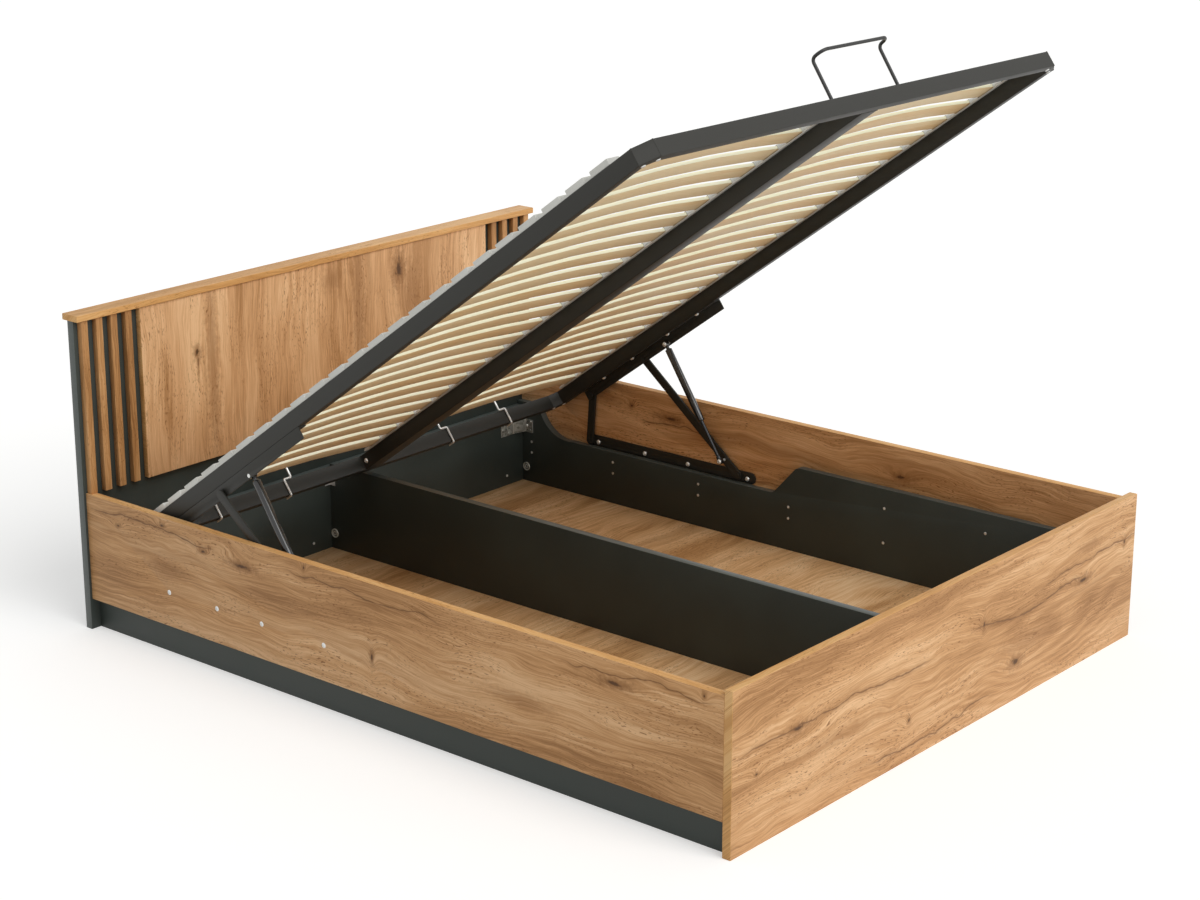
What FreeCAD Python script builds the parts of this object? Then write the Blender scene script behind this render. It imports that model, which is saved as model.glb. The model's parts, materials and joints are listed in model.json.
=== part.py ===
import FreeCAD, Part
import math
import os

# Storage bed with a lifting slatted base, shown raised.
# X runs across the bed, Y from the foot to the head, Z up, in millimetres.
# Everything is drawn with Y = 0 at the footboard's outer face, and is moved at the
# end so that the origin lies on the floor in the middle of the bed's length and width.
# Sizes named "from_head" are measured from the headboard's front face to the foot.

V = FreeCAD.Vector

# Boards
board = 22.0
strip_board = 16.0
cap_board = 16.0
floor_board = 3.0
edge_radius = 1.5

# Box
footboard_width = 1650.0
footboard_height = 374.0
rail_length = 2002.0
rail_bottom = 81.0
rail_height = 279.0
side_panel_height = 245.0
head_panel_height = 235.0

# Headboard
headboard_side_overhang = 7.0
headboard_height = 804.0
cap_side_overhang = 4.0
cap_depth = 56.0
cap_back_overhang = 13.0
centre_panel_bottom = 358.0
strip_width = 20.0
strip_gap = 26.0
strip_margin = 12.0
strip_count = 4

# Cut-out of the inner side panel beside the lift
cutout_beyond_long_pivot = 211.5
cutout_slant = 79.0
cutout_corner_radius = 26.0
cutout_curve = 126.0
cutout_beyond_short_pivot = 59.3
cutout_below_bar = 1.0

# Raised base. On the base, s runs from its head edge to its foot edge, n square to it
tilt = math.radians(35.98)
open_edge_from_head = 140.67
open_edge_height = 283.65
closed_head_gap = 11.0
closed_foot_gap = 6.0
closed_lift_off = 1.5
tube_height = 40.0
tube_width = 25.0
tube_wall = 2.0
corner_across = 40.0
corner_along = 30.0
beam_width = 60.0

# Slats and their holders
slat_width = 53.0
slat_thickness = 8.0
slat_bow = 16.0
slat_pitch = 79.3
first_slat = 116.3
last_slat_margin = 60.0
holder_length = 38.0
holder_wall = 1.6
holder_overhang = 14.0
holder_fit = 0.2
holder_pocket = 24.0
lug_height = 6.0
lug_side_height = 3.0

# Lift, upper angle bracket under the side tube
bracket_start = 114.0
bracket_length = 600.0
bracket_drop = 30.0
angle_wall = 3.0
bracket_bolt_places = (220.0, 349.0, 506.0, 633.0)
bracket_bolt_inset = 7.0

# Lift, links between the base's pivots (s, n) and the lower bar's pivots
short_pivot = (130.7, -60.0)
long_pivot = (367.5, -60.5)
short_foot_height = 171.47
long_foot_rise = 4.47
link_width = 25.0
link_thickness = 5.0
pivot_diameter = 10.0
running_fit = 0.05
side_gap = 0.5
pivot_washer = 4.0
rivet_head = 2.0
rivet_head_diameter = 16.0

# Lift, lower bar bolted through the rail
bar_beyond_long_pivot = 59.5
bar_beyond_short_pivot = 13.3
bar_height = 32.0
bar_thickness = 3.0
bar_below_pivot = 13.5
bar_bolt_height = 12.0
bar_bolts_from_long_pivot = (30.5, -179.5, -336.5)
bar_bolt_from_short_pivot = 28.7

# Lift, gas spring
spring_pivot = (482.0, -62.5)
spring_foot_along = 58.0
spring_inset = 15.0
cylinder_diameter = 20.0
cylinder_length = 238.0
cylinder_end = 16.0
rod_diameter = 10.0
rod_guide = 14.0
rod_room = 4.0
eye_diameter = 17.0
eye_width = 12.0
stud_diameter = 8.0
eye_collar = 1.0

# Fasteners
bolt_diameter = 8.0
bolt_head_diameter = 14.0
bolt_head_height = 4.5
cap_nut_diameter = 13.0
cap_nut_height = 2.2
screw_diameter = 8.0
screw_height = 1.2
corner_bolt_spacing = 34.0
beam_bolt_inset = 15.0

# Handle at the foot of the base: legs, then a wide loop leaning out over the footboard
wire_diameter = 8.0
handle_half_width = 127.0
handle_leg_inset = 11.0
handle_leg_lean = 4.0
handle_leg_height = 100.0
handle_bar_lean = 38.0
handle_bar_height = 103.0
handle_leg_bend = 12.0
handle_loop_bend = 22.0

# Mattress hooks on the head tube
hook_diameter = 6.0
hook_height = 62.0
hook_step = 25.0
hook_foot = 22.0
hook_bend = 4.0
hook_places = (308.0, 549.0)

# Fittings on the inner panels
fitting_diameter = 26.0
fitting_core = 13.0
fitting_height = 2.5
fitting_chamfer = 1.0
fitting_z = 47.0
fitting_inset = 14.0
screw_pitch = 313.0
screw_first_from_head = 57.0
screw_row_count = 6
screw_top_z = 191.0
screw_middle_z = 127.0
screw_low_z = 94.0
head_screw_from_divider = 68.0
head_screw_from_side = 72.0
head_screw_z = 32.0

# Perforated corner braces between the head panel and the side panels
brace_bottom = 155.0
brace_height = 40.0
brace_plate = 2.0
brace_head_leg = 97.0
brace_side_leg = 40.0
brace_hole = 5.0
brace_hole_pitch = 13.0
brace_hole_edge = 8.0
brace_head_columns = 3
brace_side_columns = 2
brace_rows = 3

# Small angles between the divider and the head panel
angle_leg = 20.0
angle_height = 16.0
angle_plate = 2.0
angle_z = 193.0

# Derived places of the box
foot_inner = board
head_front = foot_inner + rail_length
head_wall = head_front - board
head_back = head_front + board
overall_length = head_back + cap_back_overhang
rail_outer = footboard_width / 2
half_headboard = rail_outer + headboard_side_overhang
half_cap = half_headboard + cap_side_overhang
half_centre_panel = half_headboard - strip_margin - strip_count * (strip_gap + strip_width)
rail_inner = rail_outer - board
panel_inner = rail_inner - board
rail_top = rail_bottom + rail_height
strip_front = head_front - strip_board

# Derived places across the lift: bar, link, washer, base
bar_inner = rail_inner - bar_thickness
link_outer = bar_inner - side_gap
link_inner = link_outer - link_thickness
half_base = link_inner - side_gap - pivot_washer
tube_inner = half_base - tube_width
web_inner = half_base - angle_wall
bolt_line = tube_inner + bracket_bolt_inset
spring_x = half_base - spring_inset
half_beam = beam_width / 2

# Derived places along the base and its two end positions
base_length = rail_length - closed_head_gap - closed_foot_gap
foot_tube_inner = base_length - tube_width
slat_room = base_length - first_slat - last_slat_margin
slat_count = int(slat_room / slat_pitch) + 1
bracket_bottom = -tube_height - bracket_drop
open_edge = V(0, head_front - open_edge_from_head, open_edge_height)
closed_height = side_panel_height + closed_lift_off + tube_height
closed_edge = V(0, head_front - closed_head_gap, closed_height)

# Derived places of the slats and holders
inner_holder = half_beam + holder_overhang - holder_length
outer_holder = tube_inner - holder_overhang
slat_start = inner_holder + holder_length - holder_pocket + holder_fit
slat_end = outer_holder + holder_pocket - holder_fit
slat_middle = (slat_start + slat_end) / 2
slat_bottom = holder_wall + holder_fit
slat_rise = 2 * slat_bow * holder_pocket / (slat_middle - slat_start)
pocket_width = slat_width + 2 * holder_fit
pocket_height = slat_thickness + 2 * holder_fit + slat_rise
holder_height = pocket_height + 2 * holder_wall

across = V(1, 0, 0)
up = V(0, 0, 1)


# Small solids

def box(x0, x1, y0, y1, z0, z1):
    return Part.makeBox(x1 - x0, y1 - y0, z1 - z0, V(x0, y0, z0))


def rod(start, direction, length, diameter):
    return Part.makeCylinder(diameter / 2, length, start, direction)


def dome(place, direction, diameter, height):
    radius = (diameter * diameter / 4 + height * height) / (2 * height)
    ball = Part.makeSphere(radius, place + direction * (height - radius), direction)
    return ball.common(rod(place, direction, height, diameter))


def plate(edges, along):
    return Part.Face(Part.Wire(edges)).extrude(along)


def prism(points, along):
    return Part.Face(Part.makePolygon(points + [points[0]])).extrude(along)


def line(a, b):
    return Part.LineSegment(a, b).toShape()


def arc(a, b, c):
    return Part.Arc(a, b, c).toShape()


def mirrored(shape):
    return shape.mirror(V(0, 0, 0), across)


def group(shapes):
    return Part.makeCompound(shapes)


def rounded(solid, picks):
    edges = [edge for edge in solid.Edges if picks(edge.CenterOfMass)]
    return solid.makeFillet(edge_radius, edges)


# Round wire through the points, with a round bend at each inner one
def bent_wire(points, bends, diameter):
    edges = []
    start = points[0]
    for number in range(1, len(points) - 1):
        bend = bends[number - 1]
        corner = points[number]
        back = points[number - 1] - corner
        ahead = points[number + 1] - corner
        back.normalize()
        ahead.normalize()
        half_turn = (math.pi - back.getAngle(ahead)) / 2
        reach = bend * math.tan(half_turn)
        inward = back + ahead
        inward.normalize()
        middle = corner + inward * (bend / math.cos(half_turn) - bend)
        edges.append(line(start, corner + back * reach))
        edges.append(arc(corner + back * reach, middle, corner + ahead * reach))
        start = corner + ahead * reach
    edges.append(line(start, points[-1]))
    circle = Part.makeCircle(diameter / 2, points[0], points[1] - points[0])
    return Part.Wire(edges).makePipeShell([Part.Wire(circle)], True, True)


# The base's solids are drawn flat, with y = -s and z = n, and raised here
def raised(shape):
    copy = shape.copy()
    copy.rotate(V(0, 0, 0), across, -math.degrees(tilt))
    copy.translate(open_edge)
    return copy


def base_point(place, edge, angle):
    s, n = place
    y = edge.y - s * math.cos(angle) + n * math.sin(angle)
    z = edge.z + s * math.sin(angle) + n * math.cos(angle)
    return V(0, y, z)


def open_point(place):
    return base_point(place, open_edge, tilt)


def closed_point(place):
    return base_point(place, closed_edge, 0)


# A lower pivot is as far from its upper pivot with the base open as with it closed
def lower_pivot(height, place):
    opened = open_point(place)
    closed = closed_point(place)
    middle = (opened + closed) / 2
    travel = closed - opened
    return V(0, middle.y + (middle.z - height) * travel.z / travel.y, height)


# Pivots of the lift, raised, and the gas spring's travel
short_top = open_point(short_pivot)
long_top = open_point(long_pivot)
spring_top = open_point(spring_pivot)
short_foot = lower_pivot(short_foot_height, short_pivot)
long_foot = lower_pivot(short_foot_height + long_foot_rise, long_pivot)
lower_pivots = (short_foot, long_foot)


def along_long_link(upper):
    direction = upper - long_foot
    direction.normalize()
    return long_foot + direction * spring_foot_along


spring_foot = along_long_link(long_top)
closed_spring_foot = along_long_link(closed_point(long_pivot))
closed_reach = (closed_point(spring_pivot) - closed_spring_foot).Length
stroke = (spring_top - spring_foot).Length - closed_reach

# Bar, its bolts and the cut-out around the lift, tied to the lower pivots
bar_bottom = short_foot.z - bar_below_pivot
bar_top = bar_bottom + bar_height
bar_bolt_z = bar_bottom + bar_bolt_height
bar_foot_end = long_foot.y - bar_beyond_long_pivot
bar_head_end = short_foot.y + bar_beyond_short_pivot
bar_bolt_places = [long_foot.y - offset for offset in bar_bolts_from_long_pivot]
bar_bolt_places.append(short_foot.y - bar_bolt_from_short_pivot)
cutout_start = long_foot.y - cutout_beyond_long_pivot
cutout_curve_start = short_foot.y + cutout_beyond_short_pivot


# Headboard

def headboard_panel():
    half = half_headboard
    return box(-half, half, head_front, head_back, 0, headboard_height)


def headboard_cap():
    front = overall_length - cap_depth
    top = headboard_height + cap_board
    solid = box(-half_cap, half_cap, front, overall_length, headboard_height, top)
    return rounded(solid, lambda middle: abs(middle.x) < edge_radius)


def headboard_centre_panel():
    half = half_centre_panel
    return box(-half, half, strip_front, head_front, centre_panel_bottom, headboard_height)


# The outermost strip stands on the rail
def headboard_strips():
    strips = []
    for number in range(strip_count):
        x = half_centre_panel + strip_gap + number * (strip_gap + strip_width)
        bottom = rail_top if x + strip_width > rail_inner else centre_panel_bottom
        strips.append(box(x, x + strip_width, strip_front, head_front, bottom, headboard_height))
    return group(strips)


# Box

def footboard():
    half = footboard_width / 2
    solid = box(-half, half, 0, board, 0, footboard_height)

    def top_or_end(middle):
        on_top = middle.z > footboard_height - edge_radius and abs(middle.x) < edge_radius
        on_end = abs(middle.x) > half - edge_radius and 0 < middle.z < footboard_height
        return on_top or (on_end and middle.z < footboard_height - edge_radius)

    return rounded(solid, top_or_end)


def side_rail():
    solid = box(rail_inner, rail_outer, foot_inner, head_front, rail_bottom, rail_top)
    for y in bar_bolt_places:
        place = V(rail_inner, y, bar_bolt_z)
        solid = solid.cut(rod(place, across, board, bolt_diameter))
    return solid


# Profile in Y and Z: a slanted step with round corners, a floor just under the bar,
# and a hollow curve up to the head
def inner_side_panel():
    def at(y, z):
        return V(panel_inner, y, z)

    top = side_panel_height
    low = bar_bottom - cutout_below_bar
    radius = cutout_corner_radius
    step_top = cutout_start
    step_end = step_top + cutout_slant
    slope = math.atan2(top - low, cutout_slant)
    reach = radius * math.tan(slope / 2)
    run = reach * math.cos(slope)
    fall = reach * math.sin(slope)
    middle_run = radius * math.sin(slope / 2) - reach
    middle_fall = radius * (1 - math.cos(slope / 2))
    curve_start = cutout_curve_start
    curve_end = curve_start + cutout_curve
    curve_middle = at(curve_start + cutout_curve * math.sin(math.pi / 4),
                      low + (top - low) * (1 - math.cos(math.pi / 4)))
    edges = [
        line(at(foot_inner, 0), at(foot_inner, top)),
        line(at(foot_inner, top), at(step_top - reach, top)),
        arc(at(step_top - reach, top), at(step_top + middle_run, top - middle_fall),
            at(step_top + run, top - fall)),
        line(at(step_top + run, top - fall), at(step_end - run, low + fall)),
        arc(at(step_end - run, low + fall), at(step_end - middle_run, low + middle_fall),
            at(step_end + reach, low)),
        line(at(step_end + reach, low), at(curve_start, low)),
        arc(at(curve_start, low), curve_middle, at(curve_end, top)),
        line(at(curve_end, top), at(head_front, top)),
        line(at(head_front, top), at(head_front, 0)),
        line(at(head_front, 0), at(foot_inner, 0)),
    ]
    return plate(edges, across * board)


def head_inner_panel():
    return box(-panel_inner, panel_inner, head_wall, head_front, 0, head_panel_height)


def centre_divider():
    return box(-board / 2, board / 2, foot_inner, head_wall, 0, side_panel_height)


def floor_panel():
    return box(board / 2, panel_inner, foot_inner, head_wall, 0, floor_board)


# Fittings on the inner panels

def screw(place, direction):
    return Part.makeCone(screw_diameter / 2, screw_diameter / 4, screw_height, place, direction)


def panel_screws():
    screws = []
    for number in range(screw_row_count):
        y = head_front - screw_first_from_head - number * screw_pitch
        upper = screw_middle_z if y > cutout_start else screw_top_z
        for z in (upper, screw_low_z):
            screws.append(screw(V(panel_inner, y, z), -across))
    for x in (board / 2 + head_screw_from_divider, panel_inner - head_screw_from_side):
        screws.append(screw(V(x, head_wall, head_screw_z), V(0, -1, 0)))
    return group(screws + [mirrored(one) for one in screws])


def ring_fitting(place, direction):
    outer = fitting_diameter / 2
    ring = Part.makeCone(outer, outer - fitting_chamfer, fitting_height, place, direction)
    return ring.cut(rod(place, direction, fitting_height, fitting_core))


def panel_fittings():
    rings = []
    for y in (foot_inner + fitting_inset, head_wall - fitting_inset):
        rings.append(ring_fitting(V(panel_inner, y, fitting_z), -across))
        rings.append(ring_fitting(V(-panel_inner, y, fitting_z), across))
        rings.append(ring_fitting(V(-board / 2, y, fitting_z), -across))
        rings.append(ring_fitting(V(board / 2, y, fitting_z), across))
    return group(rings)


def corner_brace():
    top = brace_bottom + brace_height
    head_leg = box(panel_inner - brace_head_leg, panel_inner, head_wall - brace_plate, head_wall,
                   brace_bottom, top)
    side_leg = box(panel_inner - brace_plate, panel_inner, head_wall - brace_side_leg, head_wall,
                   brace_bottom, top)
    solid = head_leg.fuse(side_leg).removeSplitter()
    first_row = brace_bottom + (brace_height - (brace_rows - 1) * brace_hole_pitch) / 2
    for row in range(brace_rows):
        z = first_row + row * brace_hole_pitch
        for column in range(brace_head_columns):
            x = panel_inner - brace_head_leg + brace_hole_edge + column * brace_hole_pitch
            solid = solid.cut(rod(V(x, head_wall, z), V(0, -1, 0), brace_plate, brace_hole))
        for column in range(brace_side_columns):
            y = head_wall - brace_side_leg + brace_hole_edge + column * brace_hole_pitch
            solid = solid.cut(rod(V(panel_inner, y, z), -across, brace_plate, brace_hole))
    return solid


def divider_angles():
    low = angle_z - angle_height / 2
    high = angle_z + angle_height / 2
    x = board / 2
    on_divider = box(x, x + angle_plate, head_wall - angle_leg, head_wall, low, high)
    on_head = box(x, x + angle_leg, head_wall - angle_plate, head_wall, low, high)
    angle = on_divider.fuse(on_head).removeSplitter()
    return group([angle, mirrored(angle)])


# Lift, fixed parts

def lower_bar():
    def at(y, z):
        return V(bar_inner, y, z)

    radius = bar_height / 2
    middle = bar_bottom + radius
    head = bar_head_end
    foot = bar_foot_end
    edges = [
        line(at(foot + radius, bar_bottom), at(head - radius, bar_bottom)),
        arc(at(head - radius, bar_bottom), at(head, middle), at(head - radius, bar_top)),
        line(at(head - radius, bar_top), at(foot + radius, bar_top)),
        arc(at(foot + radius, bar_top), at(foot, middle), at(foot + radius, bar_bottom)),
    ]
    solid = plate(edges, across * bar_thickness)
    for y in bar_bolt_places:
        place = at(y, bar_bolt_z)
        solid = solid.cut(rod(place, across, bar_thickness, bolt_diameter))
    for pivot in lower_pivots:
        solid = solid.cut(rod(at(pivot.y, pivot.z), across, bar_thickness, pivot_diameter))
    return solid


# Bolts through the bar and the rail, with a cap outside
def rail_bolts():
    bolts = []
    for y in bar_bolt_places:
        inside = V(bar_inner, y, bar_bolt_z)
        outside = V(rail_outer, y, bar_bolt_z)
        head = dome(inside, -across, bolt_head_diameter, bolt_head_height)
        shank = rod(inside, across, bar_thickness + board, bolt_diameter)
        cap = dome(outside, across, cap_nut_diameter, cap_nut_height)
        bolts.append(head.fuse([shank, cap]))
    return group(bolts)


def lower_pins():
    pins = []
    for pivot in lower_pivots:
        start = V(link_inner - side_gap, pivot.y, pivot.z)
        pin = rod(start, across, rail_inner - start.x, pivot_diameter)
        head = rod(start, -across, rivet_head, rivet_head_diameter)
        pins.append(pin.fuse(head))
    return group(pins)


# Raised base: a ring of mitred tubes with slanted corner tubes

# The ring's eight corners, from the foot edge on, moved inwards by an offset
def ring_corners(offset, n):
    slant = math.hypot(corner_across, corner_along)
    x_end = half_base - corner_across - offset * (slant - corner_along) / corner_across
    y_step = corner_along + offset * (slant - corner_across) / corner_along
    x_side = half_base - offset
    y_foot = -base_length + offset
    y_head = -offset
    right = [
        V(x_end, y_foot, n),
        V(x_side, -base_length + y_step, n),
        V(x_side, -y_step, n),
        V(x_end, y_head, n),
    ]
    left = [V(-point.x, point.y, n) for point in reversed(right)]
    return right + left


def ring_piece(number, outer_offset, inner_offset, n0, n1):
    outer = ring_corners(outer_offset, n0)
    inner = ring_corners(inner_offset, n0)
    following = (number + 1) % len(outer)
    corners = [outer[number], outer[following], inner[following], inner[number]]
    return prism(corners, up * (n1 - n0))


def mitred_tube(number):
    solid = ring_piece(number, 0, tube_width, -tube_height, 0)
    hollow = ring_piece(number, tube_wall, tube_width - tube_wall,
                        tube_wall - tube_height, -tube_wall)
    return raised(solid.cut(hollow))


def corner_tubes():
    return group([mitred_tube(0), mitred_tube(2)])


def centre_beam():
    inside = half_beam - tube_wall
    solid = box(-half_beam, half_beam, -foot_tube_inner, -tube_width, -tube_height, 0)
    hollow = box(-inside, inside, -foot_tube_inner, -tube_width,
                 tube_wall - tube_height, -tube_wall)
    return raised(solid.cut(hollow))


# Two bolts under each corner, one either side of the slanted tube, and one in each side of
# the beam's ends
def frame_bolts():
    bolts = []
    line_offset = tube_width - bolt_head_diameter / 2
    line_corners = ring_corners(line_offset, -tube_height)
    for number in (0, 2, 4, 6):
        a = line_corners[number]
        b = line_corners[number + 1]
        middle = (a + b) / 2
        direction = b - a
        direction.normalize()
        for side in (-1, 1):
            place = middle + direction * (side * corner_bolt_spacing / 2)
            bolts.append(raised(dome(place, -up, bolt_head_diameter, bolt_head_height)))
    for s in (tube_width + beam_bolt_inset, foot_tube_inner - beam_bolt_inset):
        for side in (-1, 1):
            place = V(side * half_beam, -s, -tube_height / 2)
            head = dome(place, across * side, bolt_head_diameter, bolt_head_height)
            bolts.append(raised(head))
    return group(bolts)


# Slats and holders, right-hand column

def slat_row(shape):
    row = []
    for number in range(slat_count):
        copy = shape.copy()
        copy.translate(V(0, -first_slat - number * slat_pitch, 0))
        row.append(raised(copy))
    return group(row)


def slats():
    def at(x, n):
        return V(x, -slat_width / 2, n)

    low = slat_bottom
    high = slat_bottom + slat_thickness
    edges = [
        arc(at(slat_start, low), at(slat_middle, low + slat_bow), at(slat_end, low)),
        line(at(slat_end, low), at(slat_end, high)),
        arc(at(slat_end, high), at(slat_middle, high + slat_bow), at(slat_start, high)),
        line(at(slat_start, high), at(slat_start, low)),
    ]
    return slat_row(plate(edges, V(0, slat_width, 0)))


# A pocket for the slat's end, and a low lug with a round top up to the next pocket
def holders(x0, pocket_x):
    def at(y, n):
        return V(x0, y, n)

    half = pocket_width / 2 + holder_wall
    body = box(x0, x0 + holder_length, -half, half, 0, holder_height)
    inside = box(pocket_x, pocket_x + holder_pocket, -pocket_width / 2, pocket_width / 2,
                 holder_wall, holder_wall + pocket_height)
    lug_end = slat_pitch - half
    edges = [
        line(at(half, 0), at(lug_end, 0)),
        line(at(lug_end, 0), at(lug_end, lug_side_height)),
        arc(at(lug_end, lug_side_height), at(slat_pitch / 2, lug_height),
            at(half, lug_side_height)),
        line(at(half, lug_side_height), at(half, 0)),
    ]
    lug = plate(edges, across * holder_length)
    return slat_row(body.cut(inside).fuse(lug))


def inner_slat_holders():
    return holders(inner_holder, inner_holder + holder_length - holder_pocket)


def outer_slat_holders():
    return holders(outer_holder, outer_holder)


# Lift, parts on the base

def upper_bracket():
    foot = -bracket_start - bracket_length
    under = -tube_height
    flange = box(tube_inner, half_base, foot, -bracket_start, under - angle_wall, under)
    web = box(web_inner, half_base, foot, -bracket_start, bracket_bottom, under)
    solid = flange.fuse(web).removeSplitter()
    for s, n in (short_pivot, long_pivot, spring_pivot):
        solid = solid.cut(rod(V(web_inner, -s, n), across, angle_wall, pivot_diameter))
    for s in bracket_bolt_places:
        place = V(bolt_line, -s, under - angle_wall)
        solid = solid.cut(rod(place, up, angle_wall, bolt_diameter))
    return raised(solid)


def bracket_bolts():
    bolts = []
    for s in bracket_bolt_places:
        place = V(bolt_line, -s, -tube_height - angle_wall)
        head = dome(place, -up, bolt_head_diameter, bolt_head_height)
        shank = rod(place, up, angle_wall, bolt_diameter)
        bolts.append(raised(head.fuse(shank)))
    return group(bolts)


# The short link turns on a pin in the bracket; the long link's pivot is left open
# here, with a rivet in the bracket and another in the link
def upper_pins():
    s, n = short_pivot
    start = V(web_inner, -s, n)
    pin = rod(start, across, link_outer - start.x, pivot_diameter)
    washer = rod(V(half_base, -s, n), across, pivot_washer, rivet_head_diameter)
    head = rod(start, -across, rivet_head, rivet_head_diameter)
    short_pin = pin.fuse([washer, head])
    s, n = long_pivot
    start = V(web_inner, -s, n)
    plug = rod(start, across, angle_wall, pivot_diameter)
    head = rod(start, -across, rivet_head, rivet_head_diameter)
    return group([raised(short_pin), raised(plug.fuse(head))])


def spring_upper_stud():
    s, n = spring_pivot
    plug = rod(V(web_inner, -s, n), across, angle_wall, pivot_diameter)
    end = spring_x - eye_width / 2 - side_gap
    neck = rod(V(end, -s, n), across, web_inner - end, stud_diameter)
    head = dome(V(end, -s, n), -across, bolt_head_diameter, bolt_head_height)
    return raised(plug.fuse([neck, head]))


# Links: flat bars with round ends

def flat_link(low_pivot, high_pivot, bored):
    along = high_pivot - low_pivot
    along.normalize()
    tip = along * (link_width / 2)
    side = V(0, -tip.z, tip.y)
    start = low_pivot + across * link_inner
    end = high_pivot + across * link_inner
    edges = [
        line(start + side, end + side),
        arc(end + side, end + tip, end - side),
        line(end - side, start - side),
        arc(start - side, start - tip, start + side),
    ]
    solid = plate(edges, across * link_thickness)
    for pivot in bored:
        bore = rod(pivot + across * link_inner, across, link_thickness,
                   pivot_diameter + 2 * running_fit)
        solid = solid.cut(bore)
    return solid


def short_link():
    return flat_link(short_foot, short_top, [short_foot, short_top])


def long_link():
    start = V(half_base + side_gap, long_top.y, long_top.z)
    rivet = rod(start, across, link_inner - start.x, rivet_head_diameter)
    return flat_link(long_foot, long_top, [long_foot]).fuse(rivet)


def spring_lower_stud():
    start = spring_x + eye_width / 2 + eye_collar + side_gap
    place = V(start, spring_foot.y, spring_foot.z)
    return rod(place, across, link_inner - start, stud_diameter)


# Gas spring: a cylinder with an eye, and a rod whose eye carries its own headed pin

def spring_line():
    direction = spring_foot - spring_top
    direction.normalize()
    return spring_top + across * spring_x, direction


def gas_cylinder():
    centre, along = spring_line()
    eye = rod(centre - across * (eye_width / 2), across, eye_width, eye_diameter)
    neck = rod(centre, along, cylinder_end, rod_diameter)
    body = rod(centre + along * cylinder_end, along, cylinder_length - cylinder_end,
               cylinder_diameter)
    solid = body.fuse([neck, eye])
    stud_bore = rod(centre - across * (eye_width / 2), across, eye_width,
                    stud_diameter + 2 * running_fit)
    rod_bore = rod(centre + along * (cylinder_end + rod_room), along, cylinder_length,
                   rod_diameter + 2 * running_fit)
    return solid.cut(stud_bore).cut(rod_bore)


def gas_rod():
    centre, along = spring_line()
    end = spring_foot + across * spring_x
    start = cylinder_length - stroke - rod_guide
    shaft = rod(centre + along * start, along, (end - centre).Length - start, rod_diameter)
    side = end - across * (eye_width / 2)
    eye = rod(side, across, eye_width, eye_diameter)
    collar = rod(side + across * eye_width, across, eye_collar, stud_diameter)
    head = dome(side, -across, bolt_head_diameter, bolt_head_height)
    return shaft.fuse([eye, collar, head])


# Wire parts of the base

def handle():
    leg_s = base_length - handle_leg_inset
    half = handle_half_width
    points = [
        V(-half, -leg_s, 0),
        V(-half, -leg_s - handle_leg_lean, handle_leg_height),
        V(-half, -leg_s - handle_bar_lean, handle_bar_height),
        V(half, -leg_s - handle_bar_lean, handle_bar_height),
        V(half, -leg_s - handle_leg_lean, handle_leg_height),
        V(half, -leg_s, 0),
    ]
    bends = (handle_leg_bend, handle_loop_bend, handle_loop_bend, handle_leg_bend)
    return raised(bent_wire(points, bends, wire_diameter))


# From under the head tube up its inner face, a step sideways at its top, then up
def mattress_hooks():
    radius = hook_diameter / 2
    face = tube_width + radius
    wires = []
    for x in hook_places:
        points = [
            V(x, hook_foot - face, -tube_height - radius),
            V(x, -face, -tube_height - radius),
            V(x, -face, radius),
            V(x - hook_step, -face, radius),
            V(x - hook_step, -face, hook_height),
        ]
        bends = [hook_bend] * (len(points) - 2)
        wires.append(raised(bent_wire(points, bends, hook_diameter)))
    return group(wires + [mirrored(wire) for wire in wires])


# Nodes that lie across the middle, and nodes drawn for the right and mirrored

middle_nodes = {
    "headboard_panel": headboard_panel(),
    "headboard_cap": headboard_cap(),
    "headboard_centre_panel": headboard_centre_panel(),
    "footboard": footboard(),
    "head_inner_panel": head_inner_panel(),
    "centre_divider": centre_divider(),
    "divider_angles": divider_angles(),
    "panel_screws": panel_screws(),
    "panel_fittings": panel_fittings(),
    "foot_tube": mitred_tube(7),
    "head_tube": mitred_tube(3),
    "centre_beam": centre_beam(),
    "frame_bolts": frame_bolts(),
    "handle": handle(),
    "mattress_hooks": mattress_hooks(),
}

side_nodes = {
    "headboard_strips": headboard_strips(),
    "side_rail": side_rail(),
    "inner_side_panel": inner_side_panel(),
    "floor_panel": floor_panel(),
    "corner_brace": corner_brace(),
    "lower_bar": lower_bar(),
    "rail_bolts": rail_bolts(),
    "lower_pins": lower_pins(),
    "side_tube": mitred_tube(1),
    "corner_tubes": corner_tubes(),
    "slats": slats(),
    "inner_slat_holders": inner_slat_holders(),
    "outer_slat_holders": outer_slat_holders(),
    "upper_bracket": upper_bracket(),
    "bracket_bolts": bracket_bolts(),
    "upper_pins": upper_pins(),
    "spring_upper_stud": spring_upper_stud(),
    "short_link": short_link(),
    "long_link": long_link(),
    "spring_lower_stud": spring_lower_stud(),
    "gas_cylinder": gas_cylinder(),
    "gas_rod": gas_rod(),
}

nodes = dict(middle_nodes)
for name, shape in side_nodes.items():
    nodes[name + "_right"] = shape
    nodes[name + "_left"] = mirrored(shape)

os.makedirs("parts", exist_ok=True)
for name, shape in nodes.items():
    placed = shape.copy()
    placed.translate(V(0, -overall_length / 2, 0))
    placed.exportStep("parts/" + name + ".step")

print("nodes", len(nodes), "overall length", overall_length, "spring stroke", round(stroke, 2))
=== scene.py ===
import json
import math

import bmesh
import bpy
from mathutils import Matrix, Vector

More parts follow.
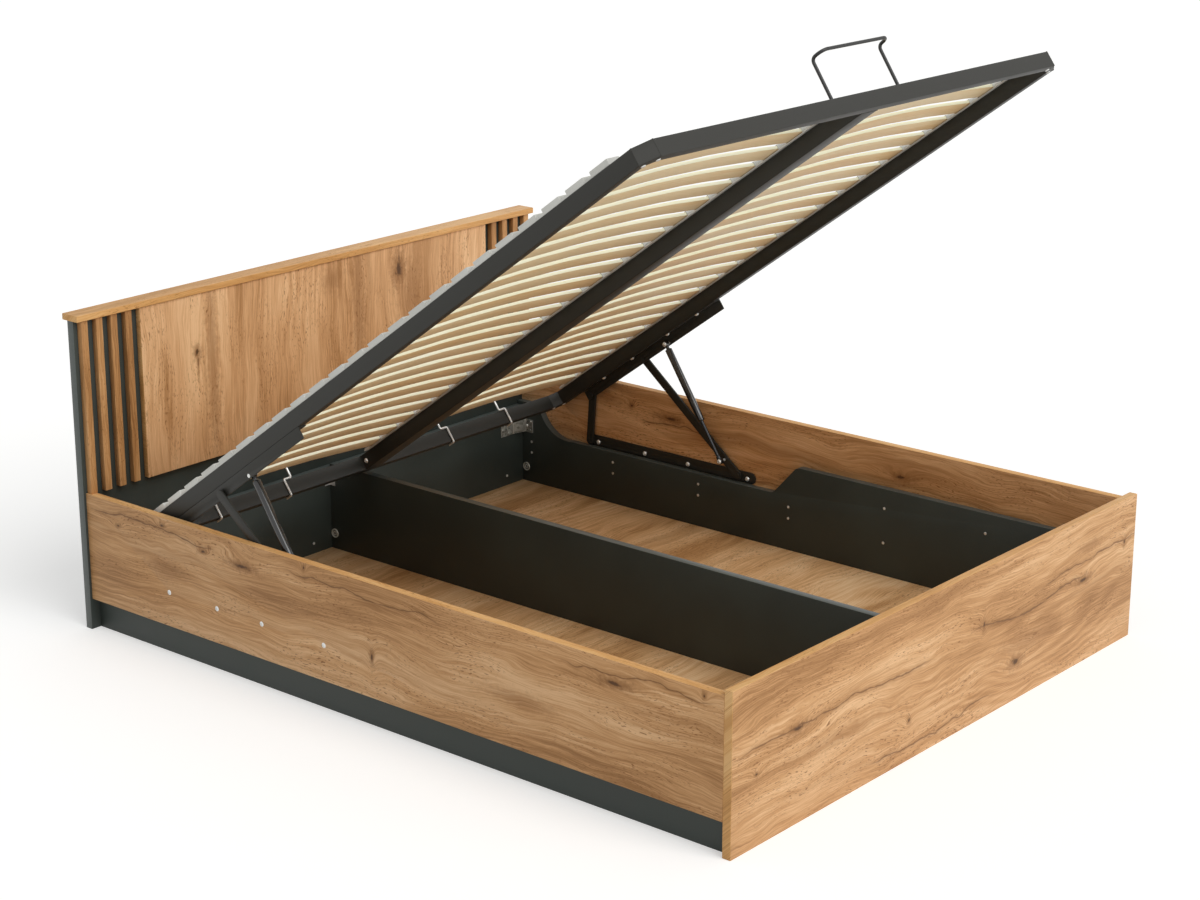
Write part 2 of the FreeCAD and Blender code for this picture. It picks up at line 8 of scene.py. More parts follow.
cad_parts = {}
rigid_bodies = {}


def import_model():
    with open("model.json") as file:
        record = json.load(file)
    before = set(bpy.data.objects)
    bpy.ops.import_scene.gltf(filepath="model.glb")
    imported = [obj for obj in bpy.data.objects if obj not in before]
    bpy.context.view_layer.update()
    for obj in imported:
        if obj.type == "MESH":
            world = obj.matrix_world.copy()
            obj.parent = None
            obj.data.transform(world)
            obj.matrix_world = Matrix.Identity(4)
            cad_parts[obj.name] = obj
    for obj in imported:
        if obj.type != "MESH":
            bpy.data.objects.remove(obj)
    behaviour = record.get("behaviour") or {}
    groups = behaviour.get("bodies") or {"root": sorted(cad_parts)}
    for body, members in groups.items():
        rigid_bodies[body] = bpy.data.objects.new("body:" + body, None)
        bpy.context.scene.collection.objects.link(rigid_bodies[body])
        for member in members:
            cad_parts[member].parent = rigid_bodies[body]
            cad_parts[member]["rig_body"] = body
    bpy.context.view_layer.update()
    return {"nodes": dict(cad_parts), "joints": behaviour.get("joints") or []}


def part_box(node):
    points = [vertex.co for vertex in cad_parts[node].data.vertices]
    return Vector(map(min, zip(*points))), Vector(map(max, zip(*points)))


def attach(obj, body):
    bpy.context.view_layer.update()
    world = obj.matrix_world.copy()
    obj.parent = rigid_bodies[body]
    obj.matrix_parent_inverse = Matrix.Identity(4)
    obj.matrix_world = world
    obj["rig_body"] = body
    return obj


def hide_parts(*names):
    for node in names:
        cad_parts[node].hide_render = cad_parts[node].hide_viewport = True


# Storage bed with its slatted base raised. Metres, X across, Y from foot to head, Z up.

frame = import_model()
print("frame loaded:", len(frame["nodes"]), "nodes")

sides = {"right": 1, "left": -1}
mm = 0.001

# The raised base: its head edge, and its directions towards the foot and square to it
base = {"headEdge": Vector((0, 0.85383, 0.28365)), "tilt": math.radians(35.98)}
base["along"] = Vector((0, -math.cos(base["tilt"]), math.sin(base["tilt"])))
base["up"] = Vector((0, math.sin(base["tilt"]), math.cos(base["tilt"])))


def onBase(x, s, n):
    return base["headEdge"] + Vector((x, 0, 0)) + base["along"] * s + base["up"] * n


# Materials

def toLinear(hexColour):
    values = [int(hexColour[i:i + 2], 16) / 255 for i in (1, 3, 5)]
    return tuple(v / 12.92 if v <= 0.04045 else ((v + 0.055) / 1.055) ** 2.4 for v in values) + (1.0,)


def addNode(material, kind, inputs=None, **settings):
    node = material.node_tree.nodes.new("ShaderNode" + kind)
    for key, value in settings.items():
        setattr(node, key, value)
    for key, value in (inputs or {}).items():
        if isinstance(value, bpy.types.Node):
            value = next(output for output in value.outputs if output.enabled)
        if isinstance(value, bpy.types.NodeSocket):
            material.node_tree.links.new(value, node.inputs[key])
        else:
            node.inputs[key].default_value = value
    return node


def newMaterial(name, **shader):
    material = bpy.data.materials.new(name)
    material.use_nodes = True
    material.node_tree.nodes.clear()
    surface = addNode(material, "BsdfPrincipled", shader)
    addNode(material, "OutputMaterial", {"Surface": surface})
    return material, surface


def setRamp(node, stops):
    ramp = node.color_ramp
    while len(ramp.elements) < len(stops):
        ramp.elements.new(0.5)
    for element, (place, colour) in zip(ramp.elements, stops):
        element.position = place
        element.color = toLinear(colour) if isinstance(colour, str) else (colour, colour, colour, 1)


# Rustic oak printed decor under melamine: fine fibres, faint wavy growth lines, short curved
# pores, smoky bands, thin dark shakes and star-cracked knots, under a dull satin face
oakLook = {"dark": "#A37547", "middle": "#CC9B69", "light": "#E8BD8E", "pore": "#8A5C32",
           "smoke": "#8A5E34", "knot": "#4A2E18", "shake": "#75502E", "roughness": 0.55}

# Noises of the decor: size along and across in mm, detail, roughness. The fibres are drawn 3 mm
# wide and the pores 2 mm wide, where the real ones are under half a millimetre
oakNoises = {
    "flat": {"ragged": (14.3, 11.1, 3, 0.7), "drift": (417, 154, 2, 0.5), "wiggle": (90.9, 35.7, 2, 0.5),
             "shown": (455, 200, 1, 0.5), "swarm": (200, 62.5, 2, 0.5), "wave": (200, 3330, 3, 0.6),
             "thick": (38.5, 333, 3, 0.7)},
    "warped": {"fibre": (143, 3.33, 4, 0.72), "broad": (769, 125, 3, 0.6), "field": (909, 200, 1, 0.4),
               "band": (1250, 66.7, 2, 0.5), "pore": (11.8, 2.33, 1, 0.5)}}

# Growth lines 33 mm apart, and how strongly each noise moves them. The wave moves the shakes
oakLines = {"spacing": 33.1 * mm, "field": 62.0, "drift": 85 * mm, "wiggle": 16 * mm, "bulge": 30 * mm,
            "wave": 75 * mm}
# How strongly each part of the figure shows
oakShares = {"ground": -0.65, "fibre": 1.1, "broad": 1.15, "lines": 0.055, "bands": 0.6, "pores": 0.85,
             "shakes": 0.8, "haze": 0.32, "knots": 0.85, "relief": 0.22}
smooth = {"interpolation_type": "SMOOTHSTEP"}


# Knots and smoky ovals, with an edge broken up by a noise of about 15 mm. A mark is (place along,
# place across, half length, half width, darkness), and one darker than a half is a knot. Across
# is the sum of the two other coordinates, which is one number on each face of a board
def knotsOf(m, flat, ragged, marks):
    near, core, smoke = 9.0, 9.0, 0.0
    ragged = addNode(m, "Math", {0: ragged, 1: 2.2, 2: -0.1}, operation="MULTIPLY_ADD")
    for u, v, length, width, darkness in marks:
        away = addNode(m, "VectorMath", {0: flat, 1: (1 / length, 1 / width, 0),
                                         2: (-u / length, -v / width, 0)}, operation="MULTIPLY_ADD")
        away = addNode(m, "VectorMath", {0: away}, operation="LENGTH")
        rough = addNode(m, "Math", {0: away, 1: ragged}, operation="MULTIPLY")
        fade = addNode(m, "MapRange", {"Value": rough, "From Min": 1.5, "From Max": 0.1,
                                       "To Max": darkness}, **smooth)
        smoke = addNode(m, "Math", {0: fade, 1: smoke}, operation="MAXIMUM")
        if darkness > 0.5:
            near = addNode(m, "Math", {0: away, 1: near}, operation="MINIMUM")
            core = addNode(m, "Math", {0: rough, 1: core}, operation="MINIMUM")
    return near, core, smoke


# Shakes: long wavy dark lines of uneven width, with a smoky edge seven times as wide. A shake is
# (from, to, place across, half width)
def shakesOf(m, noise, along, across, shakes, smoke):
    wavy = addNode(m, "Math", {0: noise["wave"], 1: oakLines["wave"], 2: across}, operation="MULTIPLY_ADD")
    crack = 0.0
    for start, end, v, width in shakes:
        off = addNode(m, "Math", {0: wavy, 1: v + oakLines["wave"] / 2}, operation="SUBTRACT")
        off = addNode(m, "Math", {0: off}, operation="ABSOLUTE")
        reach = addNode(m, "Math", {0: along, 1: (start + end) / 2}, operation="SUBTRACT")
        reach = addNode(m, "Math", {0: reach}, operation="ABSOLUTE")
        reach = addNode(m, "MapRange", {"Value": reach, "From Min": (end - start) / 2,
                                        "From Max": (end - start) / 3}, **smooth)
        thick = addNode(m, "Math", {0: noise["thick"], 1: 3.2 * width, 2: -0.75 * width},
                        operation="MULTIPLY_ADD")
        line = addNode(m, "Math", {0: off, 1: thick}, operation="DIVIDE")
        line = addNode(m, "MapRange", {"Value": line, "From Min": 1.6, "From Max": 0.2,
                                       "To Max": oakShares["shakes"]}, **smooth)
        line = addNode(m, "Math", {0: line, 1: reach}, operation="MULTIPLY")
        crack = addNode(m, "Math", {0: line, 1: crack}, operation="MAXIMUM")
        haze = addNode(m, "MapRange", {"Value": off, "From Min": width * 7, "From Max": 0.0,
                                       "To Max": oakShares["haze"]}, **smooth)
        haze = addNode(m, "Math", {0: haze, 1: reach}, operation="MULTIPLY")
        smoke = addNode(m, "Math", {0: haze, 1: smoke}, operation="MAXIMUM")
    return crack, smoke


def oak(name, grain, shift, look=oakLook, marks=(), shakes=(), figure=1.0):
    m, surface = newMaterial(name, **{"Roughness": look["roughness"], "Specular IOR Level": 0.3})
    others = [axis for axis in "XYZ" if axis != grain]
    parts = addNode(m, "SeparateXYZ", {"Vector": addNode(m, "TexCoord").outputs["Object"]}).outputs
    along = parts[grain]
    across = addNode(m, "Math", {0: parts[others[0]], 1: parts[others[1]]}, operation="ADD")
    flat = place = addNode(m, "CombineXYZ", {"X": along, "Y": across, "Z": shift})
    noise = {}
    for layer, table in oakNoises.items():
        if layer == "warped":
            # the growth lines drift by some 30 mm, and bulge round the knots
            near, core, smoke = knotsOf(m, flat, noise["ragged"], marks)
            bulge = addNode(m, "Math", {0: near, 1: -0.8}, operation="MULTIPLY")
            noise["bulge"] = addNode(m, "Math", {0: bulge}, operation="EXPONENT")
            warped = across
            for key in ("drift", "wiggle", "bulge"):
                warped = addNode(m, "Math", {0: noise[key], 1: oakLines[key], 2: warped},
                                 operation="MULTIPLY_ADD")
            place = addNode(m, "CombineXYZ", {"X": along, "Y": warped, "Z": shift})
        for number, (key, (long, wide, detail, rough)) in enumerate(table.items()):
            moved = addNode(m, "Mapping", {"Vector": place, "Scale": (1 / (long * mm), 1 / (wide * mm), 1),
                                           "Location": (2.7 * number, 1.9 * number, 3.1 * number)})
            noise[key] = addNode(m, "TexNoise", {"Vector": moved, "Scale": 1.0, "Detail": detail,
                                                 "Roughness": rough})
    # growth lines are level lines of a slow field, so that they close up and open out
    lines = addNode(m, "Math", {0: warped, 1: 2 * math.pi / oakLines["spacing"]}, operation="MULTIPLY")
    lines = addNode(m, "Math", {0: noise["field"], 1: oakLines["field"], 2: lines}, operation="MULTIPLY_ADD")
    lines = addNode(m, "Math", {0: lines}, operation="SINE")
    shown = addNode(m, "MapRange", {"Value": noise["shown"], "From Min": 0.40, "From Max": 0.62,
                                    "To Max": oakShares["lines"] * figure}, **smooth)
    tone = oakShares["ground"]
    for source, share in ((noise["fibre"], oakShares["fibre"]), (lines, shown),
                          (noise["broad"], oakShares["broad"])):
        tone = addNode(m, "Math", {0: source, 1: share, 2: tone}, operation="MULTIPLY_ADD")
    colour = addNode(m, "ValToRGB", {"Fac": tone})
    setRamp(colour, [(0.20, look["dark"]), (0.48, look["middle"]), (0.74, look["light"])])
    # smoky bands 20 to 40 mm wide along the grain, and pores, dark dashes that come in swarms
    band = addNode(m, "MapRange", {"Value": noise["band"], "From Min": 0.54, "From Max": 0.70,
                                   "To Max": oakShares["bands"]}, **smooth)
    swarm = addNode(m, "MapRange", {"Value": noise["swarm"], "From Min": 0.40, "From Max": 0.60,
                                    "To Max": oakShares["pores"]}, **smooth)
    pores = addNode(m, "MapRange", {"Value": noise["pore"], "From Min": 0.60, "From Max": 0.70}, **smooth)
    pores = addNode(m, "Math", {0: pores, 1: swarm}, operation="MULTIPLY")
    crack, smoke = shakesOf(m, noise, along, across, shakes, smoke)
    heart = addNode(m, "MapRange", {"Value": core, "From Min": 0.42, "From Max": 0.16,
                                    "To Max": oakShares["knots"]}, **smooth)
    # a Mix node of colours has its factor at input 0 and its two colours at 6 and 7
    for share, key in ((band, "dark"), (pores, "pore"), (smoke, "smoke"), (crack, "shake"), (heart, "knot")):
        colour = addNode(m, "Mix", {0: share, 6: colour, 7: toLinear(look[key])}, data_type="RGBA")
    relief = addNode(m, "Math", {0: pores, 1: -0.6, 2: noise["fibre"]}, operation="MULTIPLY_ADD")
    relief = addNode(m, "Bump", {"Height": relief, "Strength": oakShares["relief"], "Distance": 0.4 * mm})
    m.node_tree.links.new(colour.outputs[2], surface.inputs["Base Color"])
    m.node_tree.links.new(relief.outputs[0], surface.inputs["Normal"])
    return m


# where the knots and shakes lie: the front of the headboard at Y = 1, the footboard's outer face
# at Y = -1.03, and the rails' faces at X = -0.825 and X = 0.803
headFace, footFace, leftFace, rightFace = 1.0, -1.03, -0.825, 0.803
headboardMarks = [(0.735, headFace + 0.260, 0.060, 0.030, 0.85),
                  (0.765, headFace + 0.262, 0.040, 0.006, 0.8),
                  (0.652, headFace - 0.478, 0.026, 0.014, 0.75),
                  (0.625, headFace - 0.476, 0.045, 0.004, 0.7),
                  (0.754, headFace + 0.006, 0.035, 0.040, 0.45), (0.62, headFace - 0.426, 0.30, 0.020, 0.5),
                  (0.64, headFace + 0.102, 0.26, 0.024, 0.5), (0.66, headFace + 0.30, 0.12, 0.05, 0.35),
                  (0.40, headFace + 0.52, 0.040, 0.018, 0.8), (0.30, headFace - 0.20, 0.030, 0.012, 0.7)]
footMarks = [(-0.598, footFace + 0.220, 0.048, 0.013, 0.8), (-0.74, footFace + 0.165, 0.012, 0.006, 0.75),
             (0.127, footFace + 0.235, 0.008, 0.022, 0.8), (0.275, footFace + 0.099, 0.040, 0.020, 0.75),
             (0.577, footFace + 0.218, 0.050, 0.013, 0.85), (-0.174, footFace + 0.098, 0.010, 0.012, 0.7),
             (0.773, footFace + 0.263, 0.010, 0.016, 0.75), (0.60, footFace + 0.30, 0.060, 0.014, 0.4),
             (0.33, footFace + 0.14, 0.16, 0.030, 0.35), (-0.45, footFace + 0.15, 0.20, 0.020, 0.3)]
footShakes = [(-0.85, -0.05, footFace + 0.225, 0.0022), (0.05, 0.62, footFace + 0.226, 0.0024),
              (0.35, 0.86, footFace + 0.262, 0.0016), (-0.35, 0.20, footFace + 0.045, 0.0016)]
railMarks = [(0.426, leftFace + 0.300, 0.055, 0.014, 0.85), (0.710, leftFace + 0.339, 0.016, 0.009, 0.75),
             (0.563, leftFace + 0.306, 0.018, 0.008, 0.75), (0.876, leftFace + 0.302, 0.012, 0.007, 0.7),
             (0.213, leftFace + 0.347, 0.007, 0.012, 0.75), (-0.003, leftFace + 0.180, 0.008, 0.024, 0.7),
             (0.704, leftFace + 0.228, 0.06, 0.022, 0.35), (-0.720, leftFace + 0.309, 0.055, 0.014, 0.85),
             (-0.957, leftFace + 0.345, 0.007, 0.010, 0.75), (-0.45, leftFace + 0.20, 0.10, 0.020, 0.35),
             (0.572, rightFace + 0.303, 0.012, 0.010, 0.75), (0.430, rightFace + 0.290, 0.060, 0.014, 0.8),
             (0.660, rightFace + 0.308, 0.045, 0.018, 0.4), (-0.35, rightFace + 0.28, 0.040, 0.012, 0.8)]
railShakes = [(0.50, 1.0, leftFace + 0.322, 0.0020), (-0.25, 0.30, leftFace + 0.318, 0.0018),
              (-1.0, -0.55, leftFace + 0.330, 0.0016), (0.25, 0.55, rightFace + 0.270, 0.0018)]
floorMarks = [(0.42, -0.72, 0.035, 0.010, 0.7), (-0.30, -0.55, 0.10, 0.02, 0.4),
              (-0.55, 0.30, 0.03, 0.01, 0.7)]
# The edge bands and the cap are printed yellower and with less contrast than the boards
edgeLook = dict(oakLook, dark="#C48F54", middle="#DDA869", light="#ECBF84", pore="#B07C44")
# The upright gets a lighter copy of the oak: painted light for the light that the raised base keeps off it
headboardOakPaintedLight = oak("rustic_oak_melamine_upright", "Z", 0.31,
                   dict(oakLook, dark="#AB7C4D", middle="#D6A677", light="#ECC294"), marks=headboardMarks)
# The strips get a darker copy of the oak: painted shade for the shadow that falls in the gaps between them
stripOakPaintedShade = oak("rustic_oak_melamine_strips", "Z", 2.63,
               dict(oakLook, dark="#8E6237", middle="#BD8B58", light="#D8AB79"))
footboardOak = oak("rustic_oak_melamine_footboard", "X", 0.12, marks=footMarks, shakes=footShakes,
                   figure=1.3)
railOak = oak("rustic_oak_melamine_rails", "Y", 1.37, marks=railMarks, shakes=railShakes, figure=1.3)
capOak = oak("rustic_oak_melamine_cap", "X", 3.11, dict(edgeLook, dark="#BE8E58", middle="#DBAA74"))
# Hardboard with a thin oak print, a little rougher, painted paler as painted light for the box's dim floor
floorOakPaintedLight = oak("oak_printed_hardboard", "X", 4.07,
               dict(oakLook, dark="#B0814F", middle="#DBAE7C", light="#EFCB9E", roughness=0.6),
               marks=floorMarks, figure=1.4)
edgeOak = oak("oak_edge_band", "Y", 5.2, edgeLook)
edgeOakAcross = oak("oak_edge_band_across", "X", 6.1, edgeLook)
print("oak materials made")


# A plain colour broken up by a fine noise and one of 200 mm, with the fine one as relief
def speckled(name, colours, grain, relief, roughness, metallic=0.0, extra=None):
    shader = {"Metallic": metallic, "Roughness": roughness[0]}
    shader.update(extra or {})
    m, surface = newMaterial(name, **shader)
    place = addNode(m, "TexCoord").outputs["Object"]
    fine = addNode(m, "TexNoise", {"Vector": place, "Scale": 1 / grain, "Detail": 2.0})
    broad = addNode(m, "TexNoise", {"Vector": place, "Scale": 1 / (200 * mm), "Detail": 4.0,
                                    "Roughness": 0.6})
    blend = addNode(m, "Math", {0: fine, 1: 0.45}, operation="MULTIPLY")
    blend = addNode(m, "Math", {0: broad, 1: 0.55, 2: blend}, operation="MULTIPLY_ADD")
    colour = addNode(m, "ValToRGB", {"Fac": blend})
    setRamp(colour, [(0.32, colours[0]), (0.68, colours[1])])
    rough = addNode(m, "MapRange", {"Value": broad, "From Min": 0.3, "From Max": 0.7,
                                    "To Min": roughness[0], "To Max": roughness[1]})
    bump = addNode(m, "Bump", {"Height": fine, "Strength": relief, "Distance": 0.3 * mm})
    for node, socket in ((colour, "Base Color"), (rough, "Roughness"), (bump, "Normal")):
        m.node_tree.links.new(node.outputs[0], surface.inputs[socket])
    return m


# Dark green-grey melamine board: a fine pearl grain that dulls the shine
anthracite = speckled("anthracite_melamine", ("#252B27", "#343C37"), 2.2 * mm, 0.25, (0.50, 0.62))
# ABS edge band of the same board, smoother, so it catches more light; its colour is painted much lighter
# than the board's, a painted highlight along the edges
anthraciteEdgePaintedHighlight = speckled("anthracite_edge_band", ("#474D4A", "#59605D"), 3 * mm, 0.1, (0.32, 0.42))
# Satin black powder coat on steel: a soft sheen over a fine orange peel of about 2 mm
blackSteel = speckled("satin_black_powder_coat", ("#22221D", "#2C2B26"), 2 * mm, 0.35, (0.44, 0.56),
                      extra={"Specular IOR Level": 0.38})
# Black lacquer sprayed on a drawn tube: smooth, with sharp highlights
blackLacquer = speckled("black_lacquered_tube", ("#161615", "#1E1E1C"), 4 * mm, 0.05, (0.16, 0.24),
                        extra={"Coat Weight": 0.5, "Coat Roughness": 0.1})
# Nitrided steel rod, ground: dark grey metal
nitrided = speckled("nitrided_steel_rod", ("#2A2B2D", "#3C3E40"), 1.5 * mm, 0.05, (0.26, 0.34), 0.7)
# Black plastic-dipped wire: soft gloss and a faint waviness
dippedWire = speckled("black_dipped_wire", ("#151514", "#1F1F1D"), 5 * mm, 0.2, (0.32, 0.42))
# Bright zinc on fasteners under a clear chromate film: a pale metal with slight cloudy patches,
# whose milky film keeps it light among dark boards
brightZinc = speckled("bright_zinc_plate", ("#D2D4D2", "#F0F0EC"), 3 * mm, 0.15, (0.22, 0.38), 0.55)
# Injection-moulded pale grey plastic: half-matt, with a spark-eroded texture of about 1 mm
holderPlastic = speckled("pale_grey_moulded_plastic", ("#D3D3CC", "#E6E6E0"), 1.2 * mm, 0.2, (0.42, 0.52))
# Painted shade: near black standing in for the shade inside the fittings' grooves and recesses
recessPaintedShade = speckled("shadowed_recess", ("#141412", "#1B1B19"), 3 * mm, 0.1, (0.7, 0.8))
# Zinc die-cast ring fittings: a softer, greyer metal with a cast skin
castZinc = speckled("die_cast_zinc", ("#B9B9AE", "#D6D6CC"), 2 * mm, 0.2, (0.36, 0.48), 0.35)


# Hot-dip galvanised sheet: crystals about 8 mm across, each with its own grey
def galvanised(name, dark, light):
    m, surface = newMaterial(name, **{"Metallic": 0.25, "Roughness": 0.42})
    place = addNode(m, "TexCoord").outputs["Object"]
    crystals = addNode(m, "TexVoronoi", {"Vector": place, "Scale": 1 / (8 * mm)})
    shade = addNode(m, "SeparateXYZ", {"Vector": crystals.outputs["Color"]}).outputs
    colour = addNode(m, "ValToRGB", {"Fac": shade["X"]})
    setRamp(colour, [(0.0, dark), (1.0, light)])
    rough = addNode(m, "MapRange", {"Value": shade["Y"], "To Min": 0.32, "To Max": 0.52})
    m.node_tree.links.new(colour.outputs[0], surface.inputs["Base Color"])
    m.node_tree.links.new(rough.outputs[0], surface.inputs["Roughness"])
    return m


# the brace in two tones of one galvanised sheet: the facet painted lighter as painted light where it faces
# the lamps, the legs darker as painted shade
braceLegsPaintedShade = galvanised("dull_galvanised_sheet", "#6F6F67", "#A3A399")
braceFacetPaintedLight = galvanised("hot_dip_galvanised_sheet", "#C2C2B6", "#F1F0E7")

# Slats every 79.3 mm along the base. The veneer's grain is drawn 4 mm wide, where the real one is
# under a millimetre, and shades about 30 mm wide lie under it: sizes along and across in mm
slatLook = {"first": 116.3 * mm, "pitch": 79.3 * mm, "face": ("#E9C088", "#F8D49C", "#FFE8BC"),
            "edge": ("#FBF5CC", "#FFFCE4"), "grain": (200, 3.85, 3.0), "broad": (455, 33.3, 2.0)}


# Peeled birch veneer glued into a bowed slat: straight faint grain, a small shade between slats
def birch(name, colours, contrast):
    m, surface = newMaterial(name, **{"Roughness": 0.48, "Specular IOR Level": 0.35})
    place = addNode(m, "TexCoord").outputs["Object"]
    flat = addNode(m, "Mapping", {"Vector": place, "Location": base["headEdge"],
                                  "Rotation": (-base["tilt"], 0, 0)}, vector_type="TEXTURE")
    parts = addNode(m, "SeparateXYZ", {"Vector": flat}).outputs
    # each slat's number, and a random tone for it that differs between the two columns
    number = addNode(m, "Math", {0: parts["Y"], 1: -1 / slatLook["pitch"],
                                 2: 0.5 - slatLook["first"] / slatLook["pitch"]}, operation="MULTIPLY_ADD")
    number = addNode(m, "Math", {0: number}, operation="FLOOR")
    column = addNode(m, "Math", {0: parts["X"]}, operation="SIGN")
    column = addNode(m, "Math", {0: column, 1: 31.7, 2: number}, operation="MULTIPLY_ADD")
    own = addNode(m, "TexWhiteNoise", {"W": column}, noise_dimensions="1D").outputs["Value"]
    noise = {}
    for key in ("grain", "broad"):
        long, wide, detail = slatLook[key]
        moved = addNode(m, "Mapping", {"Vector": flat,
                                       "Scale": (1 / (long * mm), 1 / (wide * mm), 1 / (wide * mm))})
        noise[key] = addNode(m, "TexNoise", {"Vector": moved, "Scale": 1.0, "Detail": detail})
    tone = 0.5 - 0.25 * contrast
    for source, share in ((noise["grain"], 0.5), (noise["broad"], 0.5), (own, 0.35)):
        tone = addNode(m, "Math", {0: source, 1: share * contrast, 2: tone}, operation="MULTIPLY_ADD")
    colour = addNode(m, "ValToRGB", {"Fac": tone})
    stops = [0.45 + 0.55 * i / (len(colours) - 1) for i in range(len(colours))]
    setRamp(colour, list(zip(stops, colours)))
    bump = addNode(m, "Bump", {"Height": noise["grain"], "Strength": 0.15, "Distance": 0.3 * mm})
    m.node_tree.links.new(colour.outputs[0], surface.inputs["Base Color"])
    m.node_tree.links.new(bump.outputs[0], surface.inputs["Normal"])
    return m


slatFace = birch("birch_veneer", slatLook["face"], 1.0)
# The slat edges get a near-white copy of the birch: painted light where they face the lamps
slatEdgePaintedLight = birch("birch_slat_lacquered_edge", slatLook["edge"], 0.6)
print("other materials made")


# Making pieces

# Smooth shading, apart from edges sharper than an angle in degrees
def shaded(bm, sharpAngle=35):
    for face in bm.faces:
        face.smooth = True
    for edge in bm.edges:
        edge.smooth = len(edge.link_faces) == 2 and edge.calc_face_angle(0) < math.radians(sharpAngle)


def makePiece(name, bm, body, materials, replaces=()):
    shaded(bm)
    mesh = bpy.data.meshes.new(name)
    bm.to_mesh(mesh)
    bm.free()
    piece = bpy.data.objects.new(name, mesh)
    bpy.context.scene.collection.objects.link(piece)
    for material in materials:
        mesh.materials.append(material)
    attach(piece, body)
    if replaces:
        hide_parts(*replaces)
    return piece


# A merged copy of a CAD node, without the lines between its flat triangles
def cadCopy(node):
    bm = bmesh.new()
    bm.from_mesh(frame["nodes"][node].data)
    bmesh.ops.remove_doubles(bm, verts=bm.verts[:], dist=0.01 * mm)
    bmesh.ops.dissolve_limit(bm, angle_limit=math.radians(1), verts=bm.verts[:], edges=bm.edges[:])
    return bm


# Rounds the sharp edges, or those that a test picks
def soften(bm, width, picks=None, segments=2):
    edges = [e for e in bm.edges if len(e.link_faces) == 2 and e.calc_face_angle(0) > math.radians(40)]
    if picks:
        edges = [e for e in edges if picks(e)]
    bmesh.ops.bevel(bm, geom=edges, offset=width, offset_type="OFFSET", affect="EDGES",
                    segments=segments, profile=0.5, material=-1, clamp_overlap=True)


# Gives the picked faces the material with this number
def paint(bm, picks, number):
    bm.normal_update()
    for face in bm.faces:
        if picks(face):
            face.material_index = number


def bodyOf(node):
    return frame["nodes"][node]["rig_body"]


# Loose parts of a CAD node as (low, high) corners
def looseParts(node):
    bm = bmesh.new()
    bm.from_mesh(frame["nodes"][node].data)
    bmesh.ops.remove_doubles(bm, verts=bm.verts[:], dist=0.01 * mm)
    parts = []
    seen = set()
    for start in bm.verts:
        if start in seen:
            continue
        seen.add(start)
        group = [start]
        for vert in group:
            for edge in vert.link_edges:
                other = edge.other_vert(vert)
                if other not in seen:
                    seen.add(other)
                    group.append(other)
        low = Vector([min(v.co[i] for v in group) for i in range(3)])
        high = Vector([max(v.co[i] for v in group) for i in range(3)])
        parts.append((low, high))
    bm.free()
    return parts


# Adds a copy of a part drawn at the origin, moved by a matrix
def addCopy(bm, part, matrix, material=None):
    mesh = bpy.data.meshes.new("part")
    part.to_mesh(mesh)
    mesh.transform(matrix)
    before = len(bm.faces)
    bm.from_mesh(mesh)
    bpy.data.meshes.remove(mesh)
    if material is not None:
        bm.faces.ensure_lookup_table()
        for face in bm.faces[before:]:
            face.material_index = material


# Moves a part drawn at the origin along +Z to a place and direction
def aimed(place, direction, turn=0.0):
    spin = Matrix.Rotation(turn, 4, "Z")
    return Matrix.Translation(place) @ direction.to_track_quat("Z", "Y").to_matrix().to_4x4() @ spin


# Solid of revolution about Z from (radius, height) points
def turned(profile, steps=24):
    bm = bmesh.new()
    verts = [bm.verts.new((r, 0, z)) for r, z in profile]
    edges = [bm.edges.new(pair) for pair in zip(verts, verts[1:])]
    bmesh.ops.spin(bm, geom=verts + edges, cent=(0, 0, 0), axis=(0, 0, 1), angle=2 * math.pi,
                   steps=steps, use_merge=True)
    bmesh.ops.remove_doubles(bm, verts=bm.verts[:], dist=0.001 * mm)
    bmesh.ops.recalc_face_normals(bm, faces=bm.faces[:])
    return bm


# Dome head with a hexagon socket: a flat land round the socket, then rings down the ball that
# the dome is cut from
def socketHead(look):
    bm = bmesh.new()
    radius = look["diameter"] / 2
    height = look["height"]
    ball = (radius * radius + height * height) / (2 * height)  # the ball's radius
    land = look["land"] / 2
    top = math.sqrt(ball * ball - land * land) - ball + height
    bmesh.ops.create_circle(bm, segments=6, radius=look["socket"] / math.sqrt(3), cap_ends=False)
    bmesh.ops.subdivide_edges(bm, edges=bm.edges[:], cuts=3)
    inner = bm.edges[:]
    outer = bmesh.ops.create_circle(bm, segments=24, radius=land, cap_ends=False)["verts"]
    outerEdges = [e for e in bm.edges if e not in set(inner)]
    bmesh.ops.translate(bm, verts=bm.verts[:], vec=(0, 0, top))
    bmesh.ops.bridge_loops(bm, edges=inner + outerEdges)
    down = bmesh.ops.extrude_edge_only(bm, edges=inner)["geom"]
    floorVerts = [g for g in down if isinstance(g, bmesh.types.BMVert)]
    bmesh.ops.translate(bm, verts=floorVerts, vec=(0, 0, -look["depth"]))
    bmesh.ops.contextual_create(bm, geom=[g for g in down if isinstance(g, bmesh.types.BMEdge)])
    edges = outerEdges
    for step in range(1, 5):
        r = land + (radius - land) * math.sin(step / 4 * math.pi / 2)
        z = max(math.sqrt(max(ball * ball - r * r, 0)) - ball + height, 0)
        grown = bmesh.ops.extrude_edge_only(bm, edges=edges)["geom"]
        verts = [g for g in grown if isinstance(g, bmesh.types.BMVert)]
        old = verts[0].co.xy.length
        bmesh.ops.scale(bm, verts=verts, vec=(r / old, r / old, 1))
        bmesh.ops.translate(bm, verts=verts, vec=(0, 0, z - verts[0].co.z))
        edges = [g for g in grown if isinstance(g, bmesh.types.BMEdge)]
    bmesh.ops.recalc_face_normals(bm, faces=bm.faces[:])
    return bm


